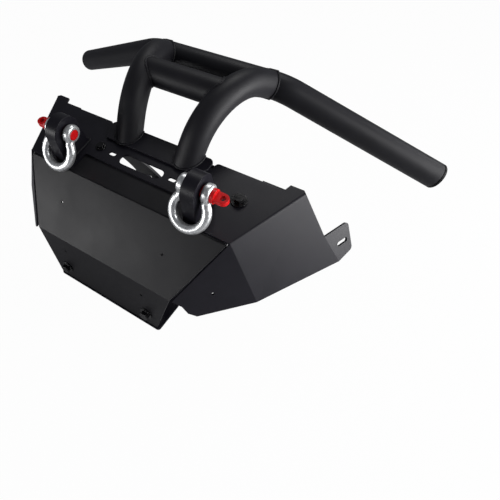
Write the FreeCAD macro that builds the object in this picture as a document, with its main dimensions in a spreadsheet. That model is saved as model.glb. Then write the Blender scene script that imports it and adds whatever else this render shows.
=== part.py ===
import FreeCAD, Part
import Sketcher
import math
import os
import re
from FreeCAD import Placement, Rotation, Vector

# Front bumper of a small off-road vehicle: a folded steel shroud with a tube crown and two tow shackles.
# X runs to the right as seen from in front, Y back towards the vehicle and Z up.
# The origin is the centre of the tray's underside, which is the face the bumper stands on.

SIZES = {
    # Stock
    "sheet": 4, "plate": 5, "tube_radius": 25.4, "tube_wall": 3.2, "fold_radius": 5,
    # Deck, the top sheet of the shroud, measured along its own slope from its front edge
    "front_y": -91, "front_height": 234, "deck_rise": 13.13, "deck_front_half": 212.5,
    "deck_corner_half": 271, "deck_corner_depth": 138, "deck_depth": 131, "ear_depth": 143,
    "ear_outer": 266, "ear_inner": 243, "relief_half": 237, "wing_inner": 113.5, "wing_notch_depth": 15,
    "step_half": 112, "step_depth": 40.5, "window_half": 46, "window_near": 51, "window_far": 74,
    "vent_x": 65, "vent_s": 63, "vent_length": 15, "vent_width": 8,
    # Side of the shroud: its low corners, measured from the deck's front edge
    "facet_corner_x": 268, "facet_corner_back": 14, "facet_corner_drop": 122,
    "facet_foot_x": 193, "facet_foot_drop": 146, "facet_ball_x": 180, "facet_ball_drop": 138,
    "facet_toe_x": 170, "facet_toe_drop": 122, "facet_hole_out": 5, "facet_hole_drop": 9,
    "side_low_x": 353, "side_low_back": 160, "side_low_drop": 104,
    "side_top_x": 318, "side_top_drop": 50,
    "tab_reach": 64, "tab_foot": 42, "tab_rise": 8, "tab_slot_length": 27, "tab_slot_width": 8,
    "tab_slot_reach": 29, "tab_slot_down": 32, "tab_corner": 8,
    # Front plate
    "face_lean": 33.3, "face_length": 131.5, "face_low_half": 155.6, "groove": 5.6, "lip_depth": 48,
    "lower_lean": 2.2, "lower_length": 116, "lower_low_half": 118, "vent_hole": 2.5,
    # Rear flange of the deck, with a hook at each end
    "flange_lean": 20, "flange_depth": 52, "flange_bite": 26, "bite_x": 246,
    # Tray
    "tray_half": 124, "tray_depth": 318, "tray_corner": 6, "tray_lip": 52, "tray_slot_x": 34,
    "tray_slot_y": 12, "tray_slot_length": 24, "tray_hole": 4.5, "tray_hole_x": 76, "tray_hole_y": 42,
    # Leg bracket
    "leg_lean": 29.3, "leg_foot": 46, "leg_half": 118, "leg_waist_half": 121, "leg_waist": 115,
    "leg_outer_bend": 115, "leg_inner_bend": 167, "leg_slot_width": 14,
    # Tow lugs, shackles and their pins
    "lug_x": 137.4, "lug_thickness": 24, "lug_head": 28, "pin_s": 32.3, "pin_height": 53.8,
    "lug_toe": 4, "lug_heel": 71, "lug_base": 8, "lug_play": 0.5, "pin_radius": 9.5, "eye_turn": 105, "pin_play": 0.05,
    "jaw": 27, "bow_stock": 8, "bow_radius": 29.5, "bow_reach": 67, "ear_radius": 16.5, "ear_thickness": 14,
    "shackle_rest": 26.1, "collar_radius": 12,
    "collar_length": 6, "bow_neck": 12.5, "eye_length": 21, "eye_width": 18,
    "eye_thickness": 9, "eye_hole": 4.5,
    # Tube crown
    "arm_x": 65.6, "arm_s": 118, "arm_tail": 30, "arm_straight": 24, "arm_lean": 24.4, "arm_dip": 23.3,
    "foot_near": 87.5, "foot_far": 130, "foot_half": 110, "foot_front_half": 97, "foot_corner": 20,
    "bar_y": 219, "bar_height": 331, "bar_arm_x": 117.2, "bar_bend_x": 142.4, "bar_bend": 100,
    "bar_turn": 29.6, "bar_leg": 338.2, "bar_droop": 53.5, "cross_y": 104.8, "cross_height": 349.8,
    "cap_length": 6.5, "cap_plug": 14, "cap_dish": 15,
    # Fasteners
    "outer_bolt_x": 185.4, "outer_bolt_s": 76.6, "inner_bolt_x": 95.5, "inner_bolt_s": 66.6,
    "bolt_radius": 6, "bolt_play": 0.5, "head_radius": 9.5, "head_height": 8, "washer_radius": 14,
    "washer_thickness": 2.5, "nut_height": 9, "button_radius": 9, "button_height": 6,
    "lower_bolt_x": 97, "lower_bolt_down": 86, "rear_bolt_x": 89, "rear_bolt_y": 122,
}

doc = FreeCAD.newDocument("front_bumper")
sheet = doc.addObject("Spreadsheet::Sheet", "sizes")
for row, (name, size) in enumerate(SIZES.items(), start=1):
    sheet.set(f"A{row}", name)
    sheet.set(f"B{row}", str(size))
    sheet.setAlias(f"B{row}", name)
doc.recompute()


def size(name):
    """The value of a named cell."""
    return float(sheet.get(name))


def bound(text):
    """An expression in which each word that names a cell points at the sheet."""
    return re.sub(r"[a-z_]+", lambda word: "sizes." * (word[0] in SIZES) + word[0], text)


def value(text):
    """What such an expression is worth now."""
    return float(sheet.evalExpression(bound(text).replace("sizes.", "")))


# Bodies and sketches

def place(thing, x="0", y="0", z="0", axis=Vector(1, 0, 0), turn="0"):
    """Puts a piece at a point that is worked out from the sheet, turned about one axis."""
    thing.Placement = Placement(Vector(value(x), value(y), value(z)), Rotation(axis, value(turn)))
    for path, text in (("Base.x", x), ("Base.y", y), ("Base.z", z), ("Rotation.Angle", turn)):
        thing.setExpression("Placement." + path, bound(text))


def on_deck(thing):
    """Puts a piece in the deck's frame: Y along the slope from the front edge, Z out of the sheet."""
    place(thing, y="front_y", z="front_height", turn="deck_rise")


def new_body(label):
    body = doc.addObject("PartDesign::Body", label)
    body.Label = label
    body.AllowCompound = True
    return body


def new_sketch(body, name, plane="XY_Plane", x="0", y="0", z="0", turn="0", axis=Vector(0, 0, 1)):
    """A sketch on one of the body's own origin planes, moved within that plane's frame."""
    sketch = body.newObject("Sketcher::SketchObject", name)
    origin = [feature for feature in body.Origin.OriginFeatures if feature.Role == plane][0]
    sketch.AttachmentSupport = (origin, "")
    sketch.MapMode = "FlatFace"
    sketch.AttachmentOffset = Placement(Vector(value(x), value(y), value(z)), Rotation(axis, value(turn)))
    for path, text in (("Base.x", x), ("Base.y", y), ("Base.z", z), ("Rotation.Angle", turn)):
        sketch.setExpression("AttachmentOffset." + path, bound(text))
    return sketch


def pin_point(sketch, geometry, end, x, y):
    """Ties one point of a sketch to its two distances from the sketch's origin."""
    for kind, text in (("DistanceX", x), ("DistanceY", y)):
        index = sketch.addConstraint(Sketcher.Constraint(kind, -1, 1, geometry, end, value(text)))
        sketch.setExpression(f"Constraints[{index}]", bound(text))


def circle(sketch, x, y, radius):
    index = sketch.addGeometry(Part.Circle(Vector(value(x), value(y)), Vector(0, 0, 1), value(radius)))
    pin_point(sketch, index, 3, x, y)
    number = sketch.addConstraint(Sketcher.Constraint("Radius", index, value(radius)))
    sketch.setExpression(f"Constraints[{number}]", bound(radius))


def outline(sketch, points):
    """A closed outline. Each point is x, y and, where an arc follows it, the arc's radius:
    positive where the arc's centre lies left of the way to the next point."""
    first = sketch.GeometryCount
    places = [Vector(value(point[0]), value(point[1])) for point in points]
    for index, point in enumerate(points):
        start = places[index]
        end = places[(index + 1) % len(places)]
        if len(point) == 2:
            sketch.addGeometry(Part.LineSegment(start, end))
            continue
        radius = value(point[2])
        chord = end - start
        left = Vector(-chord.y, chord.x).normalize()
        height = math.sqrt(max(radius ** 2 - (chord.Length / 2) ** 2, 0))
        sagitta = abs(radius) - height
        middle = (start + end) / 2 - left * math.copysign(sagitta, radius)
        sketch.addGeometry(Part.Arc(start, middle, end))
    for index, point in enumerate(points):
        this = first + index
        following = first + (index + 1) % len(points)
        ends = [sketch.getPoint(this, 1), sketch.getPoint(this, 2)]
        tail = 1 if (ends[0] - places[index]).Length < (ends[1] - places[index]).Length else 2
        head = 3 - tail
        next_ends = [sketch.getPoint(following, 1), sketch.getPoint(following, 2)]
        target = places[(index + 1) % len(places)]
        next_tail = 1 if (next_ends[0] - target).Length < (next_ends[1] - target).Length else 2
        sketch.addConstraint(Sketcher.Constraint("Coincident", this, head, following, next_tail))
        pin_point(sketch, this, tail, point[0], point[1])
        if len(point) == 3:
            number = sketch.addConstraint(Sketcher.Constraint("Radius", this, abs(value(point[2]))))
            sketch.setExpression(f"Constraints[{number}]", bound(f"abs({point[2]})"))


def slot(sketch, x1, y1, x2, y2, radius):
    """A round-ended slot between the centres of its two ends."""
    start = Vector(value(x1), value(y1))
    end = Vector(value(x2), value(y2))
    reach = value(radius)
    across = Vector(-(end - start).y, (end - start).x).normalize() * reach
    along = (end - start).normalize() * reach
    side_a = sketch.addGeometry(Part.LineSegment(start + across, end + across))
    cap_b = sketch.addGeometry(Part.Arc(end + across, end + along, end - across))
    side_b = sketch.addGeometry(Part.LineSegment(end - across, start - across))
    cap_a = sketch.addGeometry(Part.Arc(start - across, start - along, start + across))
    for line, arc, line_end in ((side_a, cap_b, 2), (side_b, cap_b, 1), (side_b, cap_a, 2), (side_a, cap_a, 1)):
        point = sketch.getPoint(line, line_end)
        arc_end = 1 if (sketch.getPoint(arc, 1) - point).Length < 1e-6 else 2
        sketch.addConstraint(Sketcher.Constraint("Tangent", line, line_end, arc, arc_end))
    pin_point(sketch, cap_a, 3, x1, y1)
    pin_point(sketch, cap_b, 3, x2, y2)
    number = sketch.addConstraint(Sketcher.Constraint("Radius", cap_a, reach))
    sketch.setExpression(f"Constraints[{number}]", bound(radius))


def pad(body, sketch, length, reverse=False, midplane=False):
    feature = body.newObject("PartDesign::Pad", sketch.Name + "_pad")
    feature.Profile = sketch
    feature.Length = value(length)
    feature.setExpression("Length", bound(length))
    feature.Reversed = reverse
    feature.SideType = "Symmetric" if midplane else "One side"
    doc.recompute()
    return feature


def pocket(body, sketch):
    """Cuts a sketch right through the body, both ways."""
    before = body.Shape.Volume
    feature = body.newObject("PartDesign::Pocket", sketch.Name + "_cut")
    feature.Profile = sketch
    feature.SideType = "Symmetric"
    feature.Type = "ThroughAll"
    doc.recompute()
    if feature.Shape.Volume >= before:
        raise ValueError(sketch.Name + " cuts nothing")
    return feature


# Plain solids in the shroud's slanted planes

def deck_point(x, s, n=0):
    """A point on the deck: x across, s back along its slope from the front edge, n out of the sheet."""
    rise = math.radians(size("deck_rise"))
    return Vector(x, size("front_y") + s * math.cos(rise) - n * math.sin(rise),
                  size("front_height") + s * math.sin(rise) + n * math.cos(rise))


def low_point(x, back, drop):
    """A point behind and below the deck's front edge."""
    return Vector(x, size("front_y") + back, size("front_height") - drop)


def on_plane(point, corners, way):
    """Slides a point along one direction onto the plane of three corners."""
    normal = (corners[1] - corners[0]).cross(corners[2] - corners[0])
    return point + way * ((corners[0] - point).dot(normal) / way.dot(normal))


def face(points):
    """A flat face. A point may carry a third value, the radius of the arc that follows it,
    positive where the arc's centre lies left of the way to the next point."""
    edges = []
    for index, point in enumerate(points):
        start = Vector(point[0], point[1])
        following = points[(index + 1) % len(points)]
        end = Vector(following[0], following[1])
        if len(point) == 2:
            edges.append(Part.makeLine(start, end))
            continue
        chord = end - start
        left = Vector(-chord.y, chord.x).normalize()
        sagitta = abs(point[2]) - math.sqrt(max(point[2] ** 2 - (chord.Length / 2) ** 2, 0))
        middle = (start + end) / 2 - left * math.copysign(sagitta, point[2])
        edges.append(Part.Arc(start, middle, end).toShape())
    return Part.Face(Part.Wire(edges))


def round_slot(x, y, length, width, turn=0):
    """A round-ended slot's face about its centre, with its length along X before the turn."""
    half = (length - width) / 2
    radius = width / 2
    points = [(-half, -radius), (half, -radius, radius), (half, radius), (-half, radius, radius)]
    slot_face = face(points)
    slot_face.Placement = Placement(Vector(x, y, 0), Rotation(Vector(0, 0, 1), turn))
    return slot_face


def prism(flat, frame, low, high):
    """A flat face made solid between two heights of its frame."""
    if flat.normalAt(0, 0).z < 0:
        flat = flat.reversed()
    solid = flat.extrude(Vector(0, 0, high - low))
    solid.Placement = Placement(Vector(0, 0, low), Rotation()).multiply(solid.Placement)
    solid.Placement = frame.multiply(solid.Placement)
    return solid


def flange_frame():
    """The rear flange's outer face: X across, Y down the flange, Z out to the back."""
    turn = Rotation(Vector(1, 0, 0), size("flange_lean") - 90)
    return Placement(deck_point(0, size("deck_depth")), turn)


def deck_frame():
    return Placement(deck_point(0, 0), Rotation(Vector(1, 0, 0), size("deck_rise")))


def fold_waste(start, end, normals):
    """What the bend takes off the sharp outer corner along a fold, given the two outer normals."""
    way = (end - start).normalize()
    outward = (normals[0] + normals[1]).normalize()
    half_turn = normals[0].getAngle(normals[1]) / 2
    radius = size("fold_radius")
    touches = []
    for normal in normals:
        along = way.cross(normal)
        if along.dot(outward) > 0:
            along = -along
        touches.append(start + along * radius * math.tan(half_turn))
    centre = start - outward * radius / math.cos(half_turn)
    arc = Part.Arc(touches[0], centre + outward * radius, touches[1]).toShape()
    lines = [Part.makeLine(touches[1], touches[1] + normals[1]),
             Part.makeLine(touches[1] + normals[1], start + outward * 2),
             Part.makeLine(start + outward * 2, touches[0] + normals[0]),
             Part.makeLine(touches[0] + normals[0], touches[0])]
    waste = Part.Face(Part.Wire([arc] + lines))
    if waste.normalAt(0, 0).dot(way) < 0:
        waste = waste.reversed()
    return waste.extrude(end - start)


# Deck shell: one folded sheet with the deck, its two sides, corner facets and bolting tabs

def shell_corners(side):
    """The outer corners of one side of the folded sheet."""
    points = {}
    points["front"] = deck_point(size("deck_front_half"), 0)
    points["back"] = deck_point(size("deck_corner_half"), size("deck_corner_depth"))
    points["low"] = low_point(size("facet_corner_x"), size("facet_corner_back"), size("facet_corner_drop"))
    lean = math.radians(size("face_lean"))
    length = size("face_length")
    points["nose"] = low_point(size("face_low_half"), -length * math.sin(lean), length * math.cos(lean))
    facet = [points["front"], points["nose"], points["low"]]
    for name in ("foot", "ball", "toe"):
        corner = low_point(size(f"facet_{name}_x"), 0, size(f"facet_{name}_drop"))
        points[name] = on_plane(corner, facet, Vector(0, 1, 0))
    points["tail"] = low_point(size("side_low_x"), size("side_low_back"), size("side_low_drop"))
    flank = [points["back"], points["low"], points["tail"]]
    points["heel"] = on_plane(low_point(size("side_top_x"), 0, size("side_top_drop")), flank, Vector(0, 1, 0))
    down = (points["tail"] - points["heel"]).normalize()
    along = Vector(0.32, 0.94, -0.02).normalize()
    points["tab_top"] = points["heel"] + along * size("tab_reach")
    points["tab_low"] = points["tail"] + along * size("tab_foot") - down * size("tab_rise")
    if side < 0:
        points = {name: Vector(-point.x, point.y, point.z) for name, point in points.items()}
    return points


def shell_outline():
    """The deck's outline, ears included, as corners in its own plane."""
    right = [(size("deck_front_half"), 0),
             (size("deck_corner_half"), size("deck_corner_depth")),
             (size("ear_outer"), size("ear_depth")),
             (size("ear_inner"), size("ear_depth")),
             (size("relief_half") + 2, size("deck_depth")),
             (size("relief_half"), size("deck_depth"))]
    return right + [(-x, s) for x, s in reversed(right)]


def rounded(points, corners, radius):
    """A flat outline with some of its corners, given by number, made round."""
    edges = []
    ends = []
    for index, point in enumerate(points):
        to_last = (points[index - 1] - point).normalize()
        to_next = (points[(index + 1) % len(points)] - point).normalize()
        if index not in corners:
            ends.append((point, point))
            continue
        half = to_last.getAngle(to_next) / 2
        middle = point + (to_last + to_next).normalize() * (radius / math.sin(half) - radius)
        touch = radius / math.tan(half)
        ends.append((point + to_last * touch, point + to_next * touch))
        edges.append(Part.Arc(ends[-1][0], middle, ends[-1][1]).toShape())
    for index, pair in enumerate(ends):
        edges.append(Part.makeLine(pair[1], ends[(index + 1) % len(ends)][0]))
    return Part.Wire(Part.sortEdges(edges)[0])


def panel(points, corners=()):
    """A flat panel of the sheet, from its outer corners inwards."""
    flat = Part.Face(rounded(list(points), corners, size("tab_corner")))
    normal = flat.normalAt(0, 0)
    if (flat.CenterOfMass - Vector(0, 60, 90)).dot(normal) < 0:
        normal = -normal
    return flat.extrude(normal * -size("sheet")), normal


def wedge(start, end, normals):
    """Fills the opening that a fold away from the centre leaves on its inner side."""
    ends = []
    for point in (start, end):
        corners = [point] + [point - normal * size("sheet") for normal in normals]
        ends.append(Part.makePolygon(corners + [point]))
    return Part.makeLoft(ends, True, True)


def bare_shell():
    """The sheet with its folds, before any opening is cut."""
    solids = [panel([deck_point(x, s) for x, s in shell_outline()])[0]]
    flange = flange_frame()
    half = size("relief_half")
    depth = size("flange_depth")
    corners = [Vector(-half, 0), Vector(half, 0), Vector(half, depth), Vector(-half, depth)]
    solids.append(panel([flange.multVec(corner) for corner in corners])[0])
    for side in (1, -1):
        at = shell_corners(side)
        facet = panel([at[name] for name in ("front", "low", "foot", "ball", "toe", "nose")])
        flank = panel([at[name] for name in ("front", "back", "low")])
        cheek = panel([at[name] for name in ("back", "heel", "tail", "low")])
        tab = panel([at[name] for name in ("heel", "tab_top", "tab_low", "tail")], corners=(1, 2))
        solids += [facet[0], flank[0], cheek[0], tab[0]]
        solids.append(wedge(at["back"], at["low"], [flank[1], cheek[1]]))
    shell = solids[0].multiFuse(solids[1:])
    return shell.removeSplitter()


def outer_normal(points):
    """The way out of the sheet at a panel given by three of its outer corners."""
    normal = (points[1] - points[0]).cross(points[2] - points[0]).normalize()
    if (points[0] - Vector(0, 60, 90)).dot(normal) < 0:
        normal = -normal
    return normal


def folded_shell():
    """Rounds the outside of the folds."""
    half = size("relief_half")
    back = size("deck_depth")
    deck = deck_frame().Rotation.multVec(Vector(0, 0, 1))
    flange = flange_frame().Rotation.multVec(Vector(0, 0, 1))
    waste = [fold_waste(deck_point(-half, back), deck_point(half, back), [deck, flange])]
    for side in (1, -1):
        at = shell_corners(side)
        flank = outer_normal([at["front"], at["back"], at["low"]])
        facet = outer_normal([at["front"], at["nose"], at["low"]])
        cheek = outer_normal([at["back"], at["tail"], at["low"]])
        tab = outer_normal([at["heel"], at["tab_top"], at["tail"]])
        waste += [fold_waste(at["front"], at["back"], [deck, flank]),
                  fold_waste(at["front"], at["low"], [flank, facet]),
                  fold_waste(at["heel"], at["tail"], [cheek, tab])]
    return bare_shell().cut(waste)


def deck_cuts():
    """The openings that run through the deck: the step, the window, the vents and the lugs' slots."""
    frame = deck_frame()
    low = -2 * size("sheet")
    step = size("step_half")
    corner = size("fold_radius")
    depth = size("step_depth")
    flats = [face([(-step, -10), (step, -10), (step, depth - corner, corner), (step - corner, depth),
                   (corner - step, depth, corner), (-step, depth - corner)])]
    window = size("window_far") - size("window_near")
    flats.append(round_slot(0, size("window_near") + window / 2, 2 * size("window_half"), window))
    play = size("lug_play")
    for side in (1, -1):
        flats.append(round_slot(side * size("vent_x"), size("vent_s"), size("vent_length"), size("vent_width")))
        middle = side * size("lug_x")
        half = size("lug_thickness") / 2 + play
        flats.append(face([(middle - half, size("lug_toe") - play), (middle + half, size("lug_toe") - play),
                           (middle + half, size("lug_heel") + play), (middle - half, size("lug_heel") + play)]))
        for name in ("outer", "inner"):
            hole = Part.Circle(Vector(side * size(name + "_bolt_x"), size(name + "_bolt_s")),
                               Vector(0, 0, 1), size("bolt_radius") + size("bolt_play"))
            flats.append(Part.Face(Part.Wire(hole.toShape())))
    cuts = [prism(flat, frame, low, 1) for flat in flats]
    for side in (1, -1):
        cuts.append(prism(wing_notch(side), frame, -14, 1))
    return cuts


def wing_notch(side):
    """The relief between a wing, with its rounded corner, and the middle of the deck."""
    wing = side * size("wing_inner")
    corner = side * 2 * size("fold_radius")
    back = size("deck_depth")
    near = back - size("wing_notch_depth")
    middle = side * (size("foot_half") - 2 * size("fold_radius"))
    round_corner = side * -2 * size("fold_radius")
    return face([(wing, near), (wing, back - abs(corner), round_corner), (wing + corner, back),
                 (wing + corner, back + 15), (middle, back + 15), (middle, near)])


def flange_hook(side):
    """The hooked finger at each end of the rear flange, with the bite above it."""
    depth = size("flange_depth")
    bite = size("bite_x")
    points = [(200, 0), (bite - 6, 0), (bite + 12, depth - 2), (bite + 17, depth + 14, 30),
              (bite - 13, depth + 50), (bite - 23, depth + 38), (bite - 8, depth + 25, -12),
              (bite - 23, depth + 9), (200, depth)]
    flat = face([(side * point[0],) + tuple(point[1:2]) + tuple(side * r for r in point[2:]) for point in points])
    hook = prism(flat, flange_frame(), -size("sheet"), 0)
    circle_edge = Part.Circle(Vector(side * bite, 26), Vector(0, 0, 1), size("flange_bite"))
    hole = Part.Face(Part.Wire(circle_edge.toShape()))
    slot_flat = round_slot(side * 200.5, 22.5, 20, 7, -side * 45)
    return hook, [prism(hole, flange_frame(), -3 * size("sheet"), 0.01),
                  prism(slot_flat, flange_frame(), -2 * size("sheet"), 1)]


def tab_slot(side):
    """The bolting slot in the tab at the back of a side."""
    at = shell_corners(side)
    along = (at["tab_top"] - at["heel"]).normalize()
    down = (at["tail"] - at["heel"]).normalize()
    normal = along.cross(down).normalize()
    centre = at["heel"] + along * size("tab_slot_reach") + down * size("tab_slot_down")
    across = normal.cross(along)
    turn = Rotation(along, across, normal, "ZXY")
    flat = round_slot(0, 0, size("tab_slot_length"), size("tab_slot_width"))
    return prism(flat, Placement(centre, turn), -2 * size("sheet"), 2 * size("sheet"))


def facet_hole(side):
    at = shell_corners(side)
    normal = (at["nose"] - at["front"]).cross(at["low"] - at["front"]).normalize()
    centre = (at["front"] + at["nose"] + at["low"] + at["toe"]) / 4
    centre += Vector(side * size("facet_hole_out"), 0, -size("facet_hole_drop"))
    centre = on_plane(centre, [at["front"], at["nose"], at["low"]], Vector(0, 1, 0))
    reach = 2 * size("sheet")
    return Part.makeCylinder(size("vent_hole"), 2 * reach, centre - normal * reach, normal)


def deck_shell():
    shell = folded_shell()
    cuts = deck_cuts()
    for side in (1, -1):
        hook, bites = flange_hook(side)
        shell = shell.fuse(hook)
        cuts += bites
        cuts.append(tab_slot(side))
        cuts.append(facet_hole(side))
    feature = doc.addObject("Part::Feature", "deck_shell")
    feature.Shape = shell.cut(cuts).removeSplitter()
    feature.Label = "deck_shell"
    return feature


# Front plate: the sheet between the shell's corners, with a lip under the deck

def front_plate():
    body = new_body("front_plate")
    on_deck(body)
    lip = new_sketch(body, "lip", z="- sheet")
    edge = "deck_front_half - 2 * sheet"
    near = "- sheet * tan(face_lean + deck_rise)"
    outline(lip, [("- (" + edge + ")", near), (edge, near), (edge, "lip_depth"),
                  ("- (" + edge + ")", "lip_depth")])
    pad(body, lip, "sheet", reverse=True)
    slant = {"turn": "90 - face_lean - deck_rise", "axis": Vector(1, 0, 0)}
    wall = new_sketch(body, "wall", **slant)
    top = "deck_front_half - groove"
    low = "face_low_half - groove"
    rise = "- sheet / cos(face_lean + deck_rise)"
    outline(wall, [("- (" + low + ")", "- face_length"), (low, "- face_length"), (top, rise),
                   ("- (" + top + ")", rise)])
    pad(body, wall, "sheet", reverse=True)
    fold = {"y": "- face_length * sin(face_lean + deck_rise)", "z": "- face_length * cos(face_lean + deck_rise)",
            "turn": "90 + lower_lean - deck_rise", "axis": Vector(1, 0, 0)}
    apron = new_sketch(body, "apron", **fold)
    bottom = "- lower_length"
    outline(apron, [("- lower_low_half", bottom), ("lower_low_half", bottom),
                    ("lower_low_half + sheet / 2", bottom + " + sheet / 2"), (low, "0"),
                    ("- (" + low + ")", "0"), ("- lower_low_half - sheet / 2", bottom + " + sheet / 2")])
    pad(body, apron, "sheet", reverse=True)
    radians = "face_lean + deck_rise"
    round_fold(body, "lip_fold", (f"- sheet * tan({radians})", "- sheet"), "0", f"270 - {radians}")
    nose = (f"- face_length * sin({radians})", f"- face_length * cos({radians})")
    round_fold(body, "nose_fold", nose, f"90 - {radians}", "270 - deck_rise + lower_lean")
    notches = new_sketch(body, "notches")
    for side in ("1", "-1"):
        middle = side + " * lug_x"
        half = "lug_thickness / 2 + lug_play"
        outline(notches, [(middle + " - (" + half + ")", "lug_toe - lug_play"),
                          (middle + " + " + half, "lug_toe - lug_play"),
                          (middle + " + " + half, "lip_depth + 5"),
                          (middle + " - (" + half + ")", "lip_depth + 5")])
    pocket(body, notches)
    holes = new_sketch(body, "wall_holes", **slant)
    for x in ("111.8", "-111.8"):
        circle(holes, x, "- face_length / 2", "vent_hole")
    pocket(body, holes)
    holes = new_sketch(body, "apron_holes", **fold)
    for side in ("1", "-1"):
        circle(holes, side + " * 90", "- 34", "vent_hole")
        circle(holes, side + " * lower_bolt_x", "- lower_bolt_down", "bolt_radius + bolt_play")
    pocket(body, holes)
    return body


def round_fold(body, name, corner, first, second):
    """Rounds the outside of a fold that runs along X, given the angles of its two walls."""
    sketch = new_sketch(body, name, "YZ_Plane")
    reach = f"fold_radius * tan(abs(180 - ({second}) + ({first})) / 2)"
    points = [corner]
    for angle in (first, second):
        points.append((f"{corner[0]} + {reach} * cos({angle})", f"{corner[1]} + {reach} * sin({angle})"))
    points[1] = points[1] + ("fold_radius",)
    outline(sketch, points)
    return pocket(body, sketch)


# Tray, which the bumper stands on and which bolts under the vehicle

def tray():
    body = new_body("tray")
    plate = new_sketch(body, "plate")
    half = "tray_depth / 2"
    corner = "tray_corner"
    outline(plate, [(f"{corner} - tray_half", f"- {half}"), (f"tray_half - {corner}", f"- {half}", corner),
                    ("tray_half", f"{corner} - {half}"), ("tray_half", half), ("- tray_half", half),
                    ("- tray_half", f"{corner} - {half}", corner)])
    pad(body, plate, "sheet")
    lean = "lower_lean"
    back = f"front_y - face_length * sin(face_lean) + lower_length * sin({lean}) + sheet / cos({lean})"
    lip = new_sketch(body, "lip", y=back, z="front_height - face_length * cos(face_lean) "
                     f"- lower_length * cos({lean})", turn=f"90 + {lean}", axis=Vector(1, 0, 0))
    side = "tray_half - tray_corner"
    outline(lip, [(f"- ({side})", "- 6"), (side, "- 6"), (side, "tray_lip - 8", "8"),
                  (f"{side} - 8", "tray_lip"), (f"8 - ({side})", "tray_lip", "8"),
                  (f"- ({side})", "tray_lip - 8")])
    pad(body, lip, "sheet", reverse=True)
    holes = new_sketch(body, "floor_holes")
    for way in ("1", "-1"):
        x = way + " * tray_slot_x"
        reach = "(tray_slot_length / 2 - tray_hole)"
        slot(holes, x, f"tray_slot_y - {reach}", x, f"tray_slot_y + {reach}", "tray_hole")
        circle(holes, way + " * tray_hole_x", "tray_hole_y", "tray_hole")
        circle(holes, way + " * (tray_half - 24)", "tray_hole_y - 2", "tray_hole - 1")
        circle(holes, way + " * rear_bolt_x", "rear_bolt_y", "bolt_radius + bolt_play")
    pocket(body, holes)
    holes = new_sketch(body, "lip_holes", y="front_y - face_length * sin(face_lean)",
                       z="front_height - face_length * cos(face_lean)", turn=f"90 + {lean}",
                       axis=Vector(1, 0, 0))
    for way in ("1", "-1"):
        circle(holes, way + " * lower_bolt_x", "- lower_bolt_down", "bolt_radius + bolt_play")
    pocket(body, holes)
    return body


# Leg bracket: two slotted legs that brace the deck from the back of the tray

def leg_bracket():
    body = new_body("leg_plate")
    place(body, y="tray_depth / 2", z="sheet", turn="90 + leg_lean")
    deck_under = ("(front_height + (tray_depth / 2 - front_y) * tan(deck_rise) - sheet / cos(deck_rise) "
                  "- sheet) / (cos(leg_lean) + sin(leg_lean) * tan(deck_rise))")
    plate = new_sketch(body, "legs")
    foot = "plate * tan(leg_lean)"
    outer_x = "leg_waist_half + leg_outer_bend * (1 - cos(66))"
    outer_y = "leg_waist + leg_outer_bend * sin(66)"
    inner_x = "44 + leg_inner_bend * (1 - cos(39))"
    inner_y = "100 + leg_inner_bend * sin(39)"
    right = [("leg_half", foot), ("leg_waist_half", "leg_waist", "- leg_outer_bend"), (outer_x, outer_y),
             ("205", deck_under), ("112", deck_under), (inner_x, inner_y, "leg_inner_bend"), ("44", "100"),
             ("27", "46", "- 32")]
    left = [("- 27", "46"), ("- 44", "100", "leg_inner_bend"), (f"- ({inner_x})", inner_y),
            ("- 112", deck_under), ("- 205", deck_under), (f"- ({outer_x})", outer_y, "- leg_outer_bend"),
            ("- leg_waist_half", "leg_waist"), ("- leg_half", foot)]
    outline(plate, right + left)
    pad(body, plate, "plate")
    slots = new_sketch(body, "leg_slots")
    for way in ("1", "-1"):
        slot(slots, way + " * 84", "leg_waist + 4", way + " * 76", "leg_waist - 62", "leg_slot_width / 2")
    pocket(body, slots)
    foot_bar = doc.addObject("Part::Box", "leg_foot")
    foot_bar.setExpression("Length", bound("2 * leg_half"))
    foot_bar.setExpression("Width", bound("leg_foot"))
    foot_bar.setExpression("Height", bound("plate"))
    place(foot_bar, "- leg_half", "tray_depth / 2 - leg_foot - plate / 2", "sheet")
    doc.recompute()
    whole = doc.addObject("Part::Fuse", "leg_whole")
    whole.Base = body
    whole.Tool = foot_bar
    drills = []
    for way in ("1", "-1"):
        drill = doc.addObject("Part::Cylinder", "drill")
        drill.setExpression("Radius", bound("bolt_radius + bolt_play"))
        drill.setExpression("Height", bound("3 * plate"))
        place(drill, way + " * rear_bolt_x", "rear_bolt_y", "sheet - plate")
        drills.append(drill)
    doc.recompute()
    bracket = doc.addObject("Part::Cut", "leg_bracket")
    bracket.Base = whole
    bracket.Tool = joined("drills", drills)
    bracket.Label = "leg_bracket"
    return bracket


def joined(name, parts):
    group = doc.addObject("Part::MultiFuse", name)
    group.Shapes = parts
    doc.recompute()
    return group


# Tow lugs and shackles

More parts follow.
